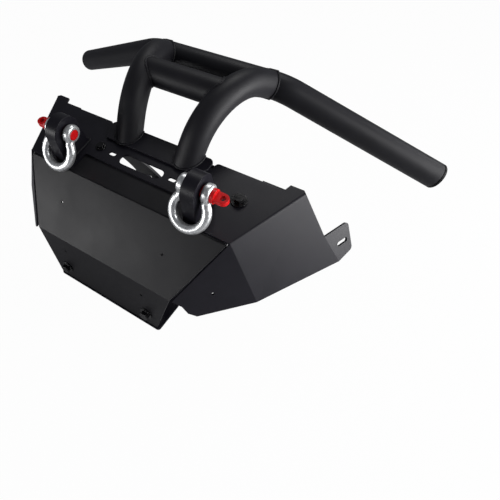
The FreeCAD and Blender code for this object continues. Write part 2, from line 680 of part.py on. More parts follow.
def tow_lug(name, way):
    body = new_body(name)
    on_deck(body)
    middle = f"{way} * lug_x"
    stem = new_sketch(body, name + "_stem", "YZ_Plane", z=middle)
    low = "- sheet - lug_base"
    outline(stem, [("lug_toe", low), ("lug_heel", low), ("lug_heel", "0"), ("lug_heel - 5", "10"),
                   ("pin_s + lug_head", "pin_height", "lug_head"),
                   ("pin_s", "pin_height + lug_head", "lug_head"), ("pin_s - lug_head", "pin_height")])
    pad(body, stem, "lug_thickness", midplane=True)
    base = new_sketch(body, name + "_base", z="- sheet")
    inner = f"{way} * (inner_bolt_x - 16)"
    outer = f"{way} * (outer_bolt_x + 18)"
    outline(base, [(inner, "lip_depth + 1"), (outer, "lip_depth + 1"), (outer, "outer_bolt_s + 16"),
                   (inner, "outer_bolt_s + 16")])
    pad(body, base, "lug_base", reverse=True)
    holes = new_sketch(body, name + "_holes")
    for bolt in ("outer", "inner"):
        circle(holes, f"{way} * {bolt}_bolt_x", f"{bolt}_bolt_s", "bolt_radius + bolt_play")
    pocket(body, holes)
    eye = new_sketch(body, name + "_eye", "YZ_Plane")
    circle(eye, "pin_s", "pin_height", "pin_radius + pin_play")
    pocket(body, eye)
    return body


def at_pin(body, way, turn="- 90 - shackle_rest"):
    """Puts a shackle's piece at its pin's middle, with Y along the hanging bow unless another turn is given."""
    place(body, f"{way} * lug_x", "front_y + pin_s * cos(deck_rise) - pin_height * sin(deck_rise)",
          "front_height + pin_s * sin(deck_rise) + pin_height * cos(deck_rise)",
          turn=turn)


def bow_path(body):
    """The bow's centreline: a neck that flares from each ear and the round of the bow."""
    sketch = new_sketch(body, "way")
    ear = value("jaw / 2 + bow_stock")
    neck = size("bow_neck")
    radius = size("bow_radius")
    centre = Vector(0, size("bow_reach") - radius)
    rise = centre.y - neck
    flare = (ear ** 2 + rise ** 2 - radius ** 2) / (2 * (radius - ear))
    lean = math.atan2(rise, ear + flare)
    touch = Vector(ear + flare - flare * math.cos(lean), neck + flare * math.sin(lean))
    bend = Vector(ear + flare - flare * math.cos(lean / 2), neck + flare * math.sin(lean / 2))
    crown = centre + Vector(0, radius)
    mirrored = [Vector(-point.x, point.y) for point in (Vector(ear, neck), bend, touch)]
    sketch.addGeometry(Part.Arc(Vector(ear, neck), bend, touch))
    sketch.addGeometry(Part.Arc(touch, crown, mirrored[2]))
    sketch.addGeometry(Part.Arc(mirrored[2], mirrored[1], mirrored[0]))
    return sketch


def shackle_bow(name, way):
    body = new_body(name)
    at_pin(body, way)
    stock = new_sketch(body, name + "_stock", "XZ_Plane", z="- bow_neck")
    circle(stock, "jaw / 2 + bow_stock", "0", "bow_stock")
    bow = body.newObject("PartDesign::AdditivePipe", name + "_bow")
    bow.Profile = stock
    bow.Spine = bow_path(body)
    doc.recompute()
    half = "ear_thickness / 2"
    for index, start in enumerate((f"jaw / 2 + bow_stock - {half}", f"- jaw / 2 - bow_stock - {half}")):
        ear = new_sketch(body, f"{name}_ear_{index}", "YZ_Plane", z=start)
        circle(ear, "0", "0", "ear_radius")
        pad(body, ear, "ear_thickness")
    hole = new_sketch(body, name + "_hole", "YZ_Plane")
    circle(hole, "0", "0", "pin_radius + pin_play")
    pocket(body, hole)
    return body


def shackle_pin(name, way):
    """The screw pin: its shaft, its collar against the outer ear and the flat eye it is turned by."""
    body = new_body(name)
    at_pin(body, way, "eye_turn")
    ear = "(jaw / 2 + bow_stock + ear_thickness / 2)"
    head = f"({ear} + collar_length)"
    levels = [(f"- {ear}", f"{ear} * 2", "pin_radius"), (ear, "collar_length", "collar_radius")]
    for index, (start, length, radius) in enumerate(levels):
        if way == "-1":
            start = f"- ({start}) - ({length})"
        disc = new_sketch(body, f"{name}_{index}", "YZ_Plane", z=start)
        circle(disc, "0", "0", radius)
        pad(body, disc, length)
    eye = new_sketch(body, name + "_eye", "XZ_Plane")
    root = f"{way} * {head}"
    tip = f"{way} * ({head} + eye_length)"
    shoulder = f"{way} * ({head} + eye_length - eye_width / 2)"
    half = "eye_width / 2"
    outline(eye, [(root, f"- {half}"), (shoulder, f"- {half}", f"{way} * {half}"),
                  (tip, "0", f"{way} * {half}"), (shoulder, half), (root, half)])
    pad(body, eye, "eye_thickness", midplane=True)
    hole = new_sketch(body, name + "_hole", "XZ_Plane")
    circle(hole, f"{way} * ({head} + eye_length - eye_width / 2)", "0", "eye_hole")
    pocket(body, hole)
    return body


# Tube crown: two arms, the top bar they carry and the cross tube between them

def bar_path(body):
    """Half a leg, a bend, the straight middle, a bend and the other leg."""
    sketch = new_sketch(body, body.Name + "_way")
    turn = math.radians(size("bar_turn"))
    radius = size("bar_bend")
    tangent = radius * math.tan(turn / 2)
    bend_x = size("bar_bend_x")
    leg = size("bar_leg")
    middle_end = Vector(bend_x - tangent, 0)
    centre = middle_end + Vector(0, radius)
    arc_middle = centre + Vector(math.sin(turn / 2), -math.cos(turn / 2)) * radius
    leg_start = Vector(bend_x + tangent * math.cos(turn), tangent * math.sin(turn))
    leg_end = Vector(bend_x + leg * math.cos(turn), leg * math.sin(turn))
    right = [leg_end, leg_start, arc_middle, middle_end]
    left = [Vector(-point.x, point.y) for point in right]
    sketch.addGeometry(Part.LineSegment(right[0], right[1]))
    sketch.addGeometry(Part.Arc(right[1], right[2], right[3]))
    sketch.addGeometry(Part.LineSegment(right[3], left[3]))
    sketch.addGeometry(Part.Arc(left[3], left[2], left[1]))
    sketch.addGeometry(Part.LineSegment(left[1], left[0]))
    return sketch


def bar(name, hollow):
    """The top bar. Its solid form only shapes what meets it."""
    body = new_body(name)
    place(body, y="bar_y", z="bar_height", turn="- bar_droop")
    ring = new_sketch(body, name + "_ring", "YZ_Plane", x="bar_leg * sin(bar_turn)",
                      z="bar_bend_x + bar_leg * cos(bar_turn)", turn="bar_turn", axis=Vector(0, 1, 0))
    circle(ring, "0", "0", "tube_radius")
    if hollow:
        circle(ring, "0", "0", "tube_radius - tube_wall")
    pipe = body.newObject("PartDesign::AdditivePipe", name + "_pipe")
    pipe.Profile = ring
    pipe.Spine = bar_path(body)
    doc.recompute()
    return body


def arm_path(body):
    """Up from the deck, leaning back, then over to meet the top bar."""
    sketch = new_sketch(body, body.Name + "_way", "YZ_Plane")
    lean = math.radians(size("arm_lean"))
    dip = math.radians(size("arm_dip"))
    run, rise = arm_span()
    straight = size("arm_straight")
    start_run = run - straight * math.sin(lean)
    start_rise = rise - straight * math.cos(lean)
    across = math.cos(lean) + math.sin(dip)
    up = math.cos(dip) - math.sin(lean)
    radius = (start_rise * math.cos(dip) + start_run * math.sin(dip)) / (
        up * math.cos(dip) + across * math.sin(dip))
    bend_start = Vector(straight * math.sin(lean), straight * math.cos(lean))
    centre = bend_start + Vector(math.cos(lean), -math.sin(lean)) * radius
    bend_end = centre + Vector(math.sin(dip), math.cos(dip)) * radius
    half = (bend_start + bend_end) / 2 - centre
    bend_middle = centre + half.normalize() * radius
    tail = Vector(-math.sin(lean), -math.cos(lean)) * size("arm_tail")
    sketch.addGeometry(Part.LineSegment(tail, bend_start))
    sketch.addGeometry(Part.Arc(bend_start, bend_middle, bend_end))
    sketch.addGeometry(Part.LineSegment(bend_end, Vector(run, rise)))
    return sketch


def arm_foot():
    """Where an arm's centreline meets the top of its foot plate."""
    return deck_point(size("arm_x"), size("arm_s"), size("plate"))


def arm_span():
    """How far an arm runs back and up from its foot to the top bar's centreline."""
    foot = arm_foot()
    run = math.hypot(size("bar_arm_x") - foot.x, size("bar_y") - foot.y)
    return run, size("bar_height") - foot.z


def arm_tube(name, side, hollow):
    body = new_body(name)
    foot = arm_foot()
    splay = math.degrees(math.atan2(size("bar_arm_x") - foot.x, size("bar_y") - foot.y))
    body.Placement = Placement(Vector(side * foot.x, foot.y, foot.z), Rotation(Vector(0, 0, 1), -side * splay))
    ring = new_sketch(body, name + "_ring", y="- arm_tail * sin(arm_lean)", z="- arm_tail * cos(arm_lean)",
                      turn="- arm_lean", axis=Vector(1, 0, 0))
    circle(ring, "0", "0", "tube_radius")
    if hollow:
        circle(ring, "0", "0", "tube_radius - tube_wall")
    pipe = body.newObject("PartDesign::AdditivePipe", name + "_pipe")
    pipe.Profile = ring
    pipe.Spine = arm_path(body)
    doc.recompute()
    return body


def cut(name, base, tools):
    """A piece with the shape of what it meets taken off it."""
    for index, tool in enumerate(tools):
        last = index == len(tools) - 1
        result = doc.addObject("Part::Cut", name if last else f"{name}_trim_{index}")
        result.Base = base
        result.Tool = tool
        doc.recompute()
        base = result
    base.Label = name
    return base


def saddle():
    """The space that the foot plate, the deck and the rear flange take up under the arms' feet."""
    feature = doc.addObject("Part::Feature", "saddle")
    half = size("foot_half") + 60
    top = size("plate")
    back = size("deck_depth")
    flange = flange_frame()
    corner = deck_point(half, back, top)
    low_back = flange.multVec(Vector(half, back, 0))
    up_back = flange.multVec(Vector(half, 0, 0))
    points = [deck_point(half, 0, top), corner, up_back, low_back, deck_point(half, 0, -back)]
    wire = Part.makePolygon(points + [points[0]])
    feature.Shape = Part.Face(wire).extrude(Vector(-2 * half, 0, 0))
    return feature


def arm_foot_plate():
    """The plate on the deck that both arms stand on."""
    body = new_body("arm_foot_plate")
    on_deck(body)
    plate = new_sketch(body, "foot_outline")
    corner = "(2 * fold_radius)"
    shoulder = "foot_near + foot_corner"
    outline(plate, [("- foot_front_half", "foot_near"), ("foot_front_half", "foot_near"),
                    ("foot_half", shoulder), ("foot_half", f"foot_far - {corner}", corner),
                    (f"foot_half - {corner}", "foot_far"), (f"{corner} - foot_half", "foot_far", corner),
                    ("- foot_half", f"foot_far - {corner}"), ("- foot_half", shoulder)])
    pad(body, plate, "plate")
    return body


def end_cap(name, side):
    """The plug in the end of the top bar: a rim over the tube's end and a spigot inside it."""
    body = new_body(name)
    place(body, y="bar_y", z="bar_height", turn="- bar_droop")
    way = "1" if side > 0 else "-1"
    spot = new_sketch(body, name + "_section", x=f"{way} * (bar_bend_x + bar_leg * cos(bar_turn))",
                      y="bar_leg * sin(bar_turn)", turn=f"{way} * bar_turn")
    inner = "tube_radius - tube_wall - lug_play / 5"
    rows = [("- cap_plug", "0"), ("cap_length - 2", "0"), ("cap_length - 2", "cap_dish"),
            ("cap_length", "cap_dish"), ("cap_length", "tube_radius - 1.5"),
            ("cap_length - 1.5", "tube_radius"), ("0", "tube_radius"), ("0", inner), ("- cap_plug", inner)]
    outline(spot, [(f"{way} * ({x})", y) for x, y in rows])
    turned = body.newObject("PartDesign::Revolution", name + "_turned")
    turned.Profile = spot
    turned.ReferenceAxis = (spot, ["H_Axis"])
    turned.Angle = 360
    doc.recompute()
    return body


# Fasteners. The same ones on both sides share one piece's name.

def hexagon(sketch, x, y, radius):
    points = [(f"{x} + {radius} * cos({60 * index})", f"{y} + {radius} * sin({60 * index})")
              for index in range(6)]
    outline(sketch, points)


def fasteners(name, frame, spots, levels):
    """Like fasteners as stacked discs and hexagons: start, height, form, radius and bore of each."""
    body = new_body(name)
    place(body, **frame)
    for index, (start, height, form, radius, bore) in enumerate(levels):
        sketch = new_sketch(body, f"{name}_{index}", z=start)
        for x, y in spots:
            form(sketch, x, y, radius)
            if bore:
                circle(sketch, x, y, bore)
        pad(body, sketch, height)
    return body


def both_sides(x, y):
    return [(x, y), (f"- {x}", y)]


def all_fasteners():
    deck = {"y": "front_y", "z": "front_height", "turn": "deck_rise"}
    grip = "(sheet + lug_base)"
    thread = "bolt_radius + pin_play"
    outer = both_sides("outer_bolt_x", "outer_bolt_s")
    inner = both_sides("inner_bolt_x", "inner_bolt_s")
    below = f"- {grip} - nut_height"
    apron = {"y": "front_y - face_length * sin(face_lean)", "z": "front_height - face_length * cos(face_lean)",
             "turn": "90 + lower_lean"}
    lower = both_sides("lower_bolt_x", "- lower_bolt_down")
    rear = both_sides("rear_bolt_x", "rear_bolt_y")
    washer_top = "washer_thickness"
    return [
        fasteners("outer_deck_bolts", deck, outer, [
            (f"{below} - 3", f"nut_height + 3 + {grip} + washer_thickness", circle, "bolt_radius", None),
            (washer_top, "head_height", hexagon, "head_radius", None)]),
        fasteners("outer_deck_washers", deck, outer, [("0", washer_top, circle, "washer_radius", thread)]),
        fasteners("outer_deck_nuts", deck, outer, [(below, "nut_height", hexagon, "head_radius", thread)]),
        fasteners("inner_deck_bolts", deck, inner, [
            (f"{below} - 3", f"nut_height + 3 + {grip}", circle, "bolt_radius", None),
            ("0", "2", circle, "button_radius + 1", None), ("2", "button_height - 2", circle, "button_radius - 2",
                                                           None)]),
        fasteners("inner_deck_nuts", deck, inner, [(below, "nut_height", hexagon, "head_radius", thread)]),
        fasteners("apron_bolts", apron, lower, [
            ("- 2 * sheet - nut_height - 3", "2 * sheet + nut_height + 3", circle, "bolt_radius", None),
            ("0", "2", circle, "washer_radius - 1", None), ("2", "head_height", hexagon, "head_radius", None)]),
        fasteners("apron_nuts", apron, lower, [
            ("- 2 * sheet - nut_height", "nut_height", hexagon, "head_radius", thread)]),
        fasteners("tray_bolts", {}, rear, [
            ("0", "sheet + plate", circle, "bolt_radius", None),
            ("sheet + plate", "2", circle, "washer_radius - 2", None),
            ("sheet + plate + 2", "head_height", hexagon, "head_radius", None)]),
    ]


def build():
    """Every piece of the bumper, in the order it is put together."""
    pieces = [deck_shell(), front_plate(), tray(), leg_bracket(), arm_foot_plate()]
    bar_form = bar("bar_form", False)
    seat = saddle()
    forms = []
    for name, side in (("right", 1), ("left", -1)):
        pipe = arm_tube(name + "_arm_pipe", side, True)
        forms.append(arm_tube(name + "_arm_form", side, False))
        pieces.append(cut(name + "_arm_tube", pipe, [seat, bar_form]))
    cross = new_body("cross_pipe")
    foot_y = "(front_y + arm_s * cos(deck_rise) - plate * sin(deck_rise))"
    reach = f"(arm_x + (bar_arm_x - arm_x) * (cross_y - {foot_y}) / (bar_y - {foot_y}))"
    place(cross, f"- {reach}", "cross_y", "cross_height")
    ring = new_sketch(cross, "cross_ring", "YZ_Plane")
    circle(ring, "0", "0", "tube_radius")
    circle(ring, "0", "0", "tube_radius - tube_wall")
    pad(cross, ring, f"2 * {reach}")
    pieces.append(cut("cross_tube", cross, forms))
    pieces.append(bar("top_bar_tube", True))
    for name, side, way in (("right", 1, "1"), ("left", -1, "-1")):
        pieces.append(end_cap(name + "_end_cap", side))
        pieces.append(tow_lug(name + "_tow_lug", way))
        pieces.append(shackle_bow(name + "_shackle_bow", way))
        pieces.append(shackle_pin(name + "_shackle_pin", way))
    return pieces + all_fasteners()


def check(pieces):
    """Stops on a failed feature or a shape that is empty, invalid or open."""
    for thing in doc.Objects:
        if {"Invalid", "Error"} & set(thing.State):
            raise ValueError(thing.Name + " has failed: " + str(thing.State))
    for piece in pieces:
        shape = piece.Shape
        if shape.isNull() or not shape.isValid() or not shape.Solids or shape.Volume <= 0:
            raise ValueError(piece.Label + " is not a sound solid")


parts = build()
doc.recompute()
check(parts)
os.makedirs("parts", exist_ok=True)
for part in parts:
    part.Shape.exportStep(os.path.join("parts", part.Label + ".step"))
    print(part.Label, len(part.Shape.Solids), round(part.Shape.Volume))
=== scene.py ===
import math
import bmesh
import bpy
from mathutils import Matrix, Vector
from mathutils.bvhtree import BVHTree


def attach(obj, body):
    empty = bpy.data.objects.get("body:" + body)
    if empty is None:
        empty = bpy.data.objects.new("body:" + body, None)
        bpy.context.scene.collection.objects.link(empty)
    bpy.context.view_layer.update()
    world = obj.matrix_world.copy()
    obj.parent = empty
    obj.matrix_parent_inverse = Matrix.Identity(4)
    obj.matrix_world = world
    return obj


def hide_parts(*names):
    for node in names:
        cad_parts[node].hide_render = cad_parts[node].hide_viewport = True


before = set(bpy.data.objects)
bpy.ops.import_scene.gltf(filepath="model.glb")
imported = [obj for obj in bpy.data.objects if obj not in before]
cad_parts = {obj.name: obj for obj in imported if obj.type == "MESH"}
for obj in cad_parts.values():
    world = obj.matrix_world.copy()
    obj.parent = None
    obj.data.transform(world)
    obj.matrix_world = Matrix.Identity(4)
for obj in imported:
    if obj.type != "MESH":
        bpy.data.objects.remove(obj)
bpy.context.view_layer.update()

# Camera. It stands in front of the bumper, to its right and above it, where the photograph was taken.
# Its place, turn and lens were solved from the bumper's own corners and holes.

azimuth, elevation, roll = (math.radians(angle) for angle in (32.96, 44.52, 0.94))
towards = Vector((math.sin(azimuth) * math.cos(elevation), -math.cos(azimuth) * math.cos(elevation),
                  math.sin(elevation)))
level = Vector((math.cos(azimuth), math.sin(azimuth), 0))
upright = towards.cross(level)
across = level * math.cos(roll) + upright * math.sin(roll)
upright = upright * math.cos(roll) - level * math.sin(roll)
camera = bpy.data.objects.new("camera", bpy.data.cameras.new("camera"))
bpy.context.scene.collection.objects.link(camera)
camera_place = (0.38346, -0.49323, 0.71083)
camera_turn = Matrix((across, upright, towards)).transposed().to_4x4()
camera.matrix_world = Matrix.Translation(camera_place) @ camera_turn
camera.data.sensor_width = 36
camera.data.lens = 30.94
camera.data.shift_x = 0.1395
camera.data.shift_y = -0.0643
bpy.context.scene.camera = camera
bpy.context.scene.view_settings.view_transform = "Standard"

# Studio. A white floor and white surroundings, with large soft lamps to the front, the side, above and behind.
# The floor and the surroundings are dim but for what the camera sees of them, so the coats stay black.


def node_tree(material):
    material.use_nodes = True
    material.node_tree.nodes.clear()
    return material.node_tree


world = bpy.context.scene.world or bpy.data.worlds.new("studio")
bpy.context.scene.world = world
tree = node_tree(world)
path = tree.nodes.new("ShaderNodeLightPath")
room = tree.nodes.new("ShaderNodeBackground")
room.inputs["Color"].default_value = (0.9, 0.93, 1.0, 1)
room.inputs["Strength"].default_value = 0.14
white = tree.nodes.new("ShaderNodeBackground")
white.inputs["Color"].default_value = (1, 1, 1, 1)
mix = tree.nodes.new("ShaderNodeMixShader")
tree.links.new(path.outputs["Is Camera Ray"], mix.inputs["Fac"])
tree.links.new(room.outputs["Background"], mix.inputs[1])
tree.links.new(white.outputs["Background"], mix.inputs[2])
tree.links.new(mix.outputs["Shader"], tree.nodes.new("ShaderNodeOutputWorld").inputs["Surface"])

floor_mesh = bmesh.new()
bmesh.ops.create_grid(floor_mesh, x_segments=1, y_segments=1, size=4)
floor_data = bpy.data.meshes.new("floor")
floor_mesh.to_mesh(floor_data)
floor = bpy.data.objects.new("floor", floor_data)
floor_gap = 0.0005
floor.data.transform(Matrix.Translation((0, 0, -floor_gap)))
bpy.context.scene.collection.objects.link(floor)
floor_white = bpy.data.materials.new("floor_white")
tree = node_tree(floor_white)
path = tree.nodes.new("ShaderNodeLightPath")
glow = tree.nodes.new("ShaderNodeEmission")
glow.inputs["Color"].default_value = (1, 1, 1, 1)
matt = tree.nodes.new("ShaderNodeBsdfDiffuse")
matt.inputs["Color"].default_value = (0.55, 0.55, 0.56, 1)
share = tree.nodes.new("ShaderNodeMath")
share.operation = "MULTIPLY"
share.inputs[1].default_value = 0.975
mix = tree.nodes.new("ShaderNodeMixShader")
tree.links.new(path.outputs["Is Camera Ray"], share.inputs[0])
tree.links.new(share.outputs["Value"], mix.inputs["Fac"])
tree.links.new(matt.outputs["BSDF"], mix.inputs[1])
tree.links.new(glow.outputs["Emission"], mix.inputs[2])
tree.links.new(mix.outputs["Shader"], tree.nodes.new("ShaderNodeOutputMaterial").inputs["Surface"])
floor.data.materials.append(floor_white)

for name, place, aim, width, height, power in (
        ("front_softbox", (-1.0, -1.45, 0.24), (-0.1, -0.15, 0.12), 1.4, 0.44, 13.5),
        ("side_panel", (1.6, 0.4, 0.44), (0.25, -0.03, 0.26), 1.3, 0.84, 31),
        ("fold_softbox", (1.47, -0.17, 1.57), (0.25, -0.03, 0.25), 0.4, 0.3, 6),
        ("crown_softbox", (-0.25, 0.95, 1.7), (0.1, 0.05, 0.25), 0.8, 0.5, 7),
        ("back_strip", (1.3, 1.6, 0.9), (0.2, 0.2, 0.25), 0.25, 1.2, 5)):
    lamp = bpy.data.objects.new(name, bpy.data.lights.new(name, "AREA"))
    lamp.data.shape = "RECTANGLE"
    lamp.data.size = width
    lamp.data.size_y = height
    lamp.data.energy = power
    lamp.location = place
    lamp.rotation_euler = (Vector(aim) - Vector(place)).to_track_quat("-Z", "Y").to_euler()
    bpy.context.scene.collection.objects.link(lamp)

# Deck shell. One steel sheet, cut and folded into the deck, its sides, facets, tabs and rear flange.
# It has a satin black powder coat, slightly uneven, with the sheet's edges softened by the coat.


grain_height = 0.0004
coat_gloss = 0.12


def finish(name, dark, light, rough, metal=0.0, patch=14, grain=900, bump=0.05, sheen=0.5, coat=0.0):
    """A surface whose colour and gloss drift in patches, with a fine grain on top."""
    material = bpy.data.materials.new(name)
    tree = node_tree(material)
    place = tree.nodes.new("ShaderNodeTexCoord")
    patches = tree.nodes.new("ShaderNodeTexNoise")
    patches.inputs["Scale"].default_value = patch
    patches.inputs["Detail"].default_value = 6
    patches.inputs["Roughness"].default_value = 0.65
    fine = tree.nodes.new("ShaderNodeTexNoise")
    fine.inputs["Scale"].default_value = grain
    fine.inputs["Detail"].default_value = 3
    tint = tree.nodes.new("ShaderNodeMix")
    tint.data_type = "RGBA"
    tint.inputs["A"].default_value = (*dark, 1)
    tint.inputs["B"].default_value = (*light, 1)
    spread = tree.nodes.new("ShaderNodeMapRange")
    spread.inputs["From Min"].default_value = 0.3
    spread.inputs["From Max"].default_value = 0.7
    gloss = tree.nodes.new("ShaderNodeMapRange")
    gloss.inputs["To Min"].default_value = rough[0]
    gloss.inputs["To Max"].default_value = rough[1]
    gloss.inputs["From Min"].default_value = 0.3
    gloss.inputs["From Max"].default_value = 0.7
    relief = tree.nodes.new("ShaderNodeBump")
    relief.inputs["Strength"].default_value = bump
    relief.inputs["Distance"].default_value = grain_height
    shader = tree.nodes.new("ShaderNodeBsdfPrincipled")
    shader.inputs["Metallic"].default_value = metal
    shader.inputs["Specular IOR Level"].default_value = sheen
    shader.inputs["Coat Weight"].default_value = coat
    shader.inputs["Coat Roughness"].default_value = coat_gloss
    for texture in (patches, fine):
        tree.links.new(place.outputs["Object"], texture.inputs["Vector"])
    tree.links.new(patches.outputs["Fac"], spread.inputs["Value"])
    tree.links.new(spread.outputs["Result"], tint.inputs["Factor"])
    tree.links.new(patches.outputs["Fac"], gloss.inputs["Value"])
    tree.links.new(fine.outputs["Fac"], relief.inputs["Height"])
    tree.links.new(tint.outputs["Result"], shader.inputs["Base Color"])
    tree.links.new(gloss.outputs["Result"], shader.inputs["Roughness"])
    tree.links.new(relief.outputs["Normal"], shader.inputs["Normal"])
    tree.links.new(shader.outputs["BSDF"], tree.nodes.new("ShaderNodeOutputMaterial").inputs["Surface"])
    return material


sheet_coat = finish("satin_sheet_coat", (0.0058, 0.0053, 0.0088), (0.009, 0.0083, 0.0132), (0.36, 0.46),
                    bump=0.12, sheen=0.26)


def dress(piece, body, material, nodes=()):
    """Gives a finished piece its material and its body, and hides the pieces that it stands for."""
    piece.data.materials.clear()
    piece.data.materials.append(material)
    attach(piece, body)
    if nodes:
        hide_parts(*nodes)
    return piece


same_point = 0.00002
same_plane = math.radians(0.6)


def new_piece(name, form, sharp=35):
    """A piece from a bmesh, smooth but for the edges that turn by more than the sharp angle."""
    data = bpy.data.meshes.new(name)
    form.to_mesh(data)
    form.free()
    data.shade_smooth()
    data.set_sharp_from_angle(angle=math.radians(sharp))
    piece = bpy.data.objects.new(name, data)
    bpy.context.scene.collection.objects.link(piece)
    return piece


def from_steel(node, edge, sharp=35):
    """A node's own form with its loose faces joined and its edges softened."""
    form = bmesh.new()
    form.from_mesh(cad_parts[node].data)
    bmesh.ops.remove_doubles(form, verts=form.verts, dist=same_point)
    bmesh.ops.dissolve_limit(form, angle_limit=same_plane, verts=form.verts, edges=form.edges)
    piece = new_piece(node + "_finished", form, sharp)
    soft = piece.modifiers.new("soft_edges", "BEVEL")
    soft.width = edge
    soft.segments = 2
    soft.limit_method = "ANGLE"
    soft.angle_limit = math.radians(sharp)
    soft.harden_normals = True
    soft.use_clamp_overlap = True
    return piece


shell = from_steel("deck_shell", 0.0009)
shell.modifiers["soft_edges"].harden_normals = False
even = shell.modifiers.new("even_shade", "WEIGHTED_NORMAL")
even.mode = "FACE_AREA"
even.weight = 50
dress(shell, "bumper", sheet_coat, ["deck_shell"])

# Front plate. A folded sheet: a lip under the deck, the leaning front face and the lower apron.
# It is bolted under the deck and to the tray. Its coat is the deck's black painted lighter and greyer, as
# painted light for the light the front face takes.

# Painted light: the deck's black powder coat, made lighter and less violet so that the front face reads
# brighter.
painted_light_front_coat = finish("satin_painted_light_front_coat", (0.0068, 0.0065, 0.0082), (0.011, 0.0106, 0.0128), (0.4, 0.5),
                    bump=0.12, sheen=0.26)
dress(from_steel("front_plate", 0.0009), "bumper", painted_light_front_coat, ["front_plate"])

# Tray. The flat plate that closes the bumper below, with slots and holes for the vehicle's frame.

dress(from_steel("tray", 0.0007), "bumper", sheet_coat, ["tray"])

# Leg bracket. Two curved legs with long slots, cut from one plate, that brace the deck from the tray.

dress(from_steel("leg_bracket", 0.0008), "bumper", sheet_coat, ["leg_bracket"])

# Arm foot plate. The doubler plate on the deck that both arms are welded to.

dress(from_steel("arm_foot_plate", 0.0008), "bumper", sheet_coat, ["arm_foot_plate"])

# Top bar. Round steel tube, bent twice, whose ends sweep back and down beside the vehicle.
# The coat on the tubes is a little more textured and darker than that on the sheet.

tube_coat = finish("textured_tube_coat", (0.0054, 0.0052, 0.0076), (0.0088, 0.0085, 0.0115), (0.46, 0.56),
                   grain=1300, bump=0.25, sheen=0.3)
tube_radius = 0.0254


def ring(form, point, way, radius, segments=72):
    """A circle square to a direction, as edges to be drawn out."""
    turn = way.to_track_quat("Z", "Y").to_matrix().to_4x4()
    made = bmesh.ops.create_circle(form, segments=segments, radius=radius,
                                   matrix=Matrix.Translation(point) @ turn)
    return list({edge for vert in made["verts"] for edge in vert.link_edges})


def drawn(form, point, way, side, radius, steps, segments=72):
    """A round bar drawn along straight runs (a length) and bends (a radius and an angle towards the side)."""
    edges = ring(form, point, way, radius, segments)
    for step in steps:
        if len(step) == 1:
            grown = bmesh.ops.extrude_edge_only(form, edges=edges)["geom"]
            verts = [item for item in grown if isinstance(item, bmesh.types.BMVert)]
            point = point + way * step[0]
            bmesh.ops.translate(form, verts=verts, vec=way * step[0])
            edges = [item for item in grown if isinstance(item, bmesh.types.BMEdge)
                     and all(vert in verts for vert in item.verts)]
            continue
        bend, angle = step
        sign = math.copysign(1, angle)
        centre = point + side * bend * sign
        axis = way.cross(side)
        geometry = edges + list({vert for edge in edges for vert in edge.verts})
        count = max(4, int(abs(math.degrees(angle)) / 4))
        made = bmesh.ops.spin(form, geom=geometry, cent=centre, axis=axis, angle=angle, steps=count,
                              use_duplicate=False)
        edges = [item for item in made["geom_last"] if isinstance(item, bmesh.types.BMEdge)]
        turn = Matrix.Rotation(angle, 3, axis)
        point = centre + turn @ (point - centre)
        way = turn @ way
        side = turn @ side
    return point, way


def closed(form):
    """Closes open ends and turns all faces outwards."""
    bmesh.ops.remove_doubles(form, verts=form.verts, dist=0.00001)
    bmesh.ops.holes_fill(form, edges=form.edges, sides=0)
    bmesh.ops.recalc_face_normals(form, faces=form.faces)
    return form


bar_middle = Vector((0, 0.219, 0.331))
droop = math.radians(53.5)
bar_back = Vector((0, math.cos(droop), -math.sin(droop)))
bar_turn = math.radians(29.6)
bar_bend = 0.1
bend_x = 0.1424
leg = 0.3382
saved = bar_bend * math.tan(bar_turn / 2)
bar_corner = bar_middle + Vector((bend_x, 0, 0))
bar_end = bar_corner + Vector((leg * math.cos(bar_turn), 0, 0)) + bar_back * leg * math.sin(bar_turn)
inwards = (Vector((-math.cos(bar_turn), 0, 0)) - bar_back * math.sin(bar_turn)).normalized()
bar_side = (Vector((-math.sin(bar_turn), 0, 0)) + bar_back * math.cos(bar_turn)).normalized()
form = bmesh.new()
drawn(form, bar_end, inwards, bar_side, tube_radius,
      [(leg - saved,), (bar_bend, bar_turn), (2 * (bend_x - saved),), (bar_bend, bar_turn), (leg - saved,)])
dress(new_piece("top_bar", closed(form)), "bumper", tube_coat, ["top_bar_tube"])

# Arms. Two bent tubes from the foot plate up and back to the top bar. Each is cut to the deck's rear
# edge at its foot, and its other end runs into the bar. Both ends are welded all round.


deck_rise = math.radians(13.13)
front_y = -0.091
front_height = 0.234
foot_plate = 0.005
deck_depth = 0.131
flange_lean = math.radians(20)


def deck_point(x, s, n):
    """A point on the sloping deck: x across, s back from its front edge, n above the sheet."""
    return Vector((x, front_y + s * math.cos(deck_rise) - n * math.sin(deck_rise),
                   front_height + s * math.sin(deck_rise) + n * math.cos(deck_rise)))


def deck_seat():
    """The deck, foot plate and rear flange as one solid, which the arms' feet are cut to."""
    side = 0.16
    flange_top = deck_point(side, deck_depth, 0)
    flange_foot = flange_top + Vector((0, math.sin(flange_lean), -math.cos(flange_lean))) * 0.12
    profile = [deck_point(side, -0.04, foot_plate), deck_point(side, deck_depth, foot_plate), flange_top,
               flange_foot, deck_point(side, -0.04, -0.15)]
    seat = bmesh.new()
    flat = seat.faces.new([seat.verts.new(point) for point in profile])
    grown = bmesh.ops.extrude_face_region(seat, geom=[flat])["geom"]
    bmesh.ops.translate(seat, verts=[item for item in grown if isinstance(item, bmesh.types.BMVert)],
                        vec=(-2 * side, 0, 0))
    bmesh.ops.recalc_face_normals(seat, faces=seat.faces)
    return new_piece("deck_seat", seat)


def settle(piece):
    """Makes a piece's modifiers part of its mesh."""
    bpy.context.view_layer.update()
    shape = piece.evaluated_get(bpy.context.evaluated_depsgraph_get())
    data = bpy.data.meshes.new_from_object(shape)
    piece.modifiers.clear()
    piece.data = data
    return piece


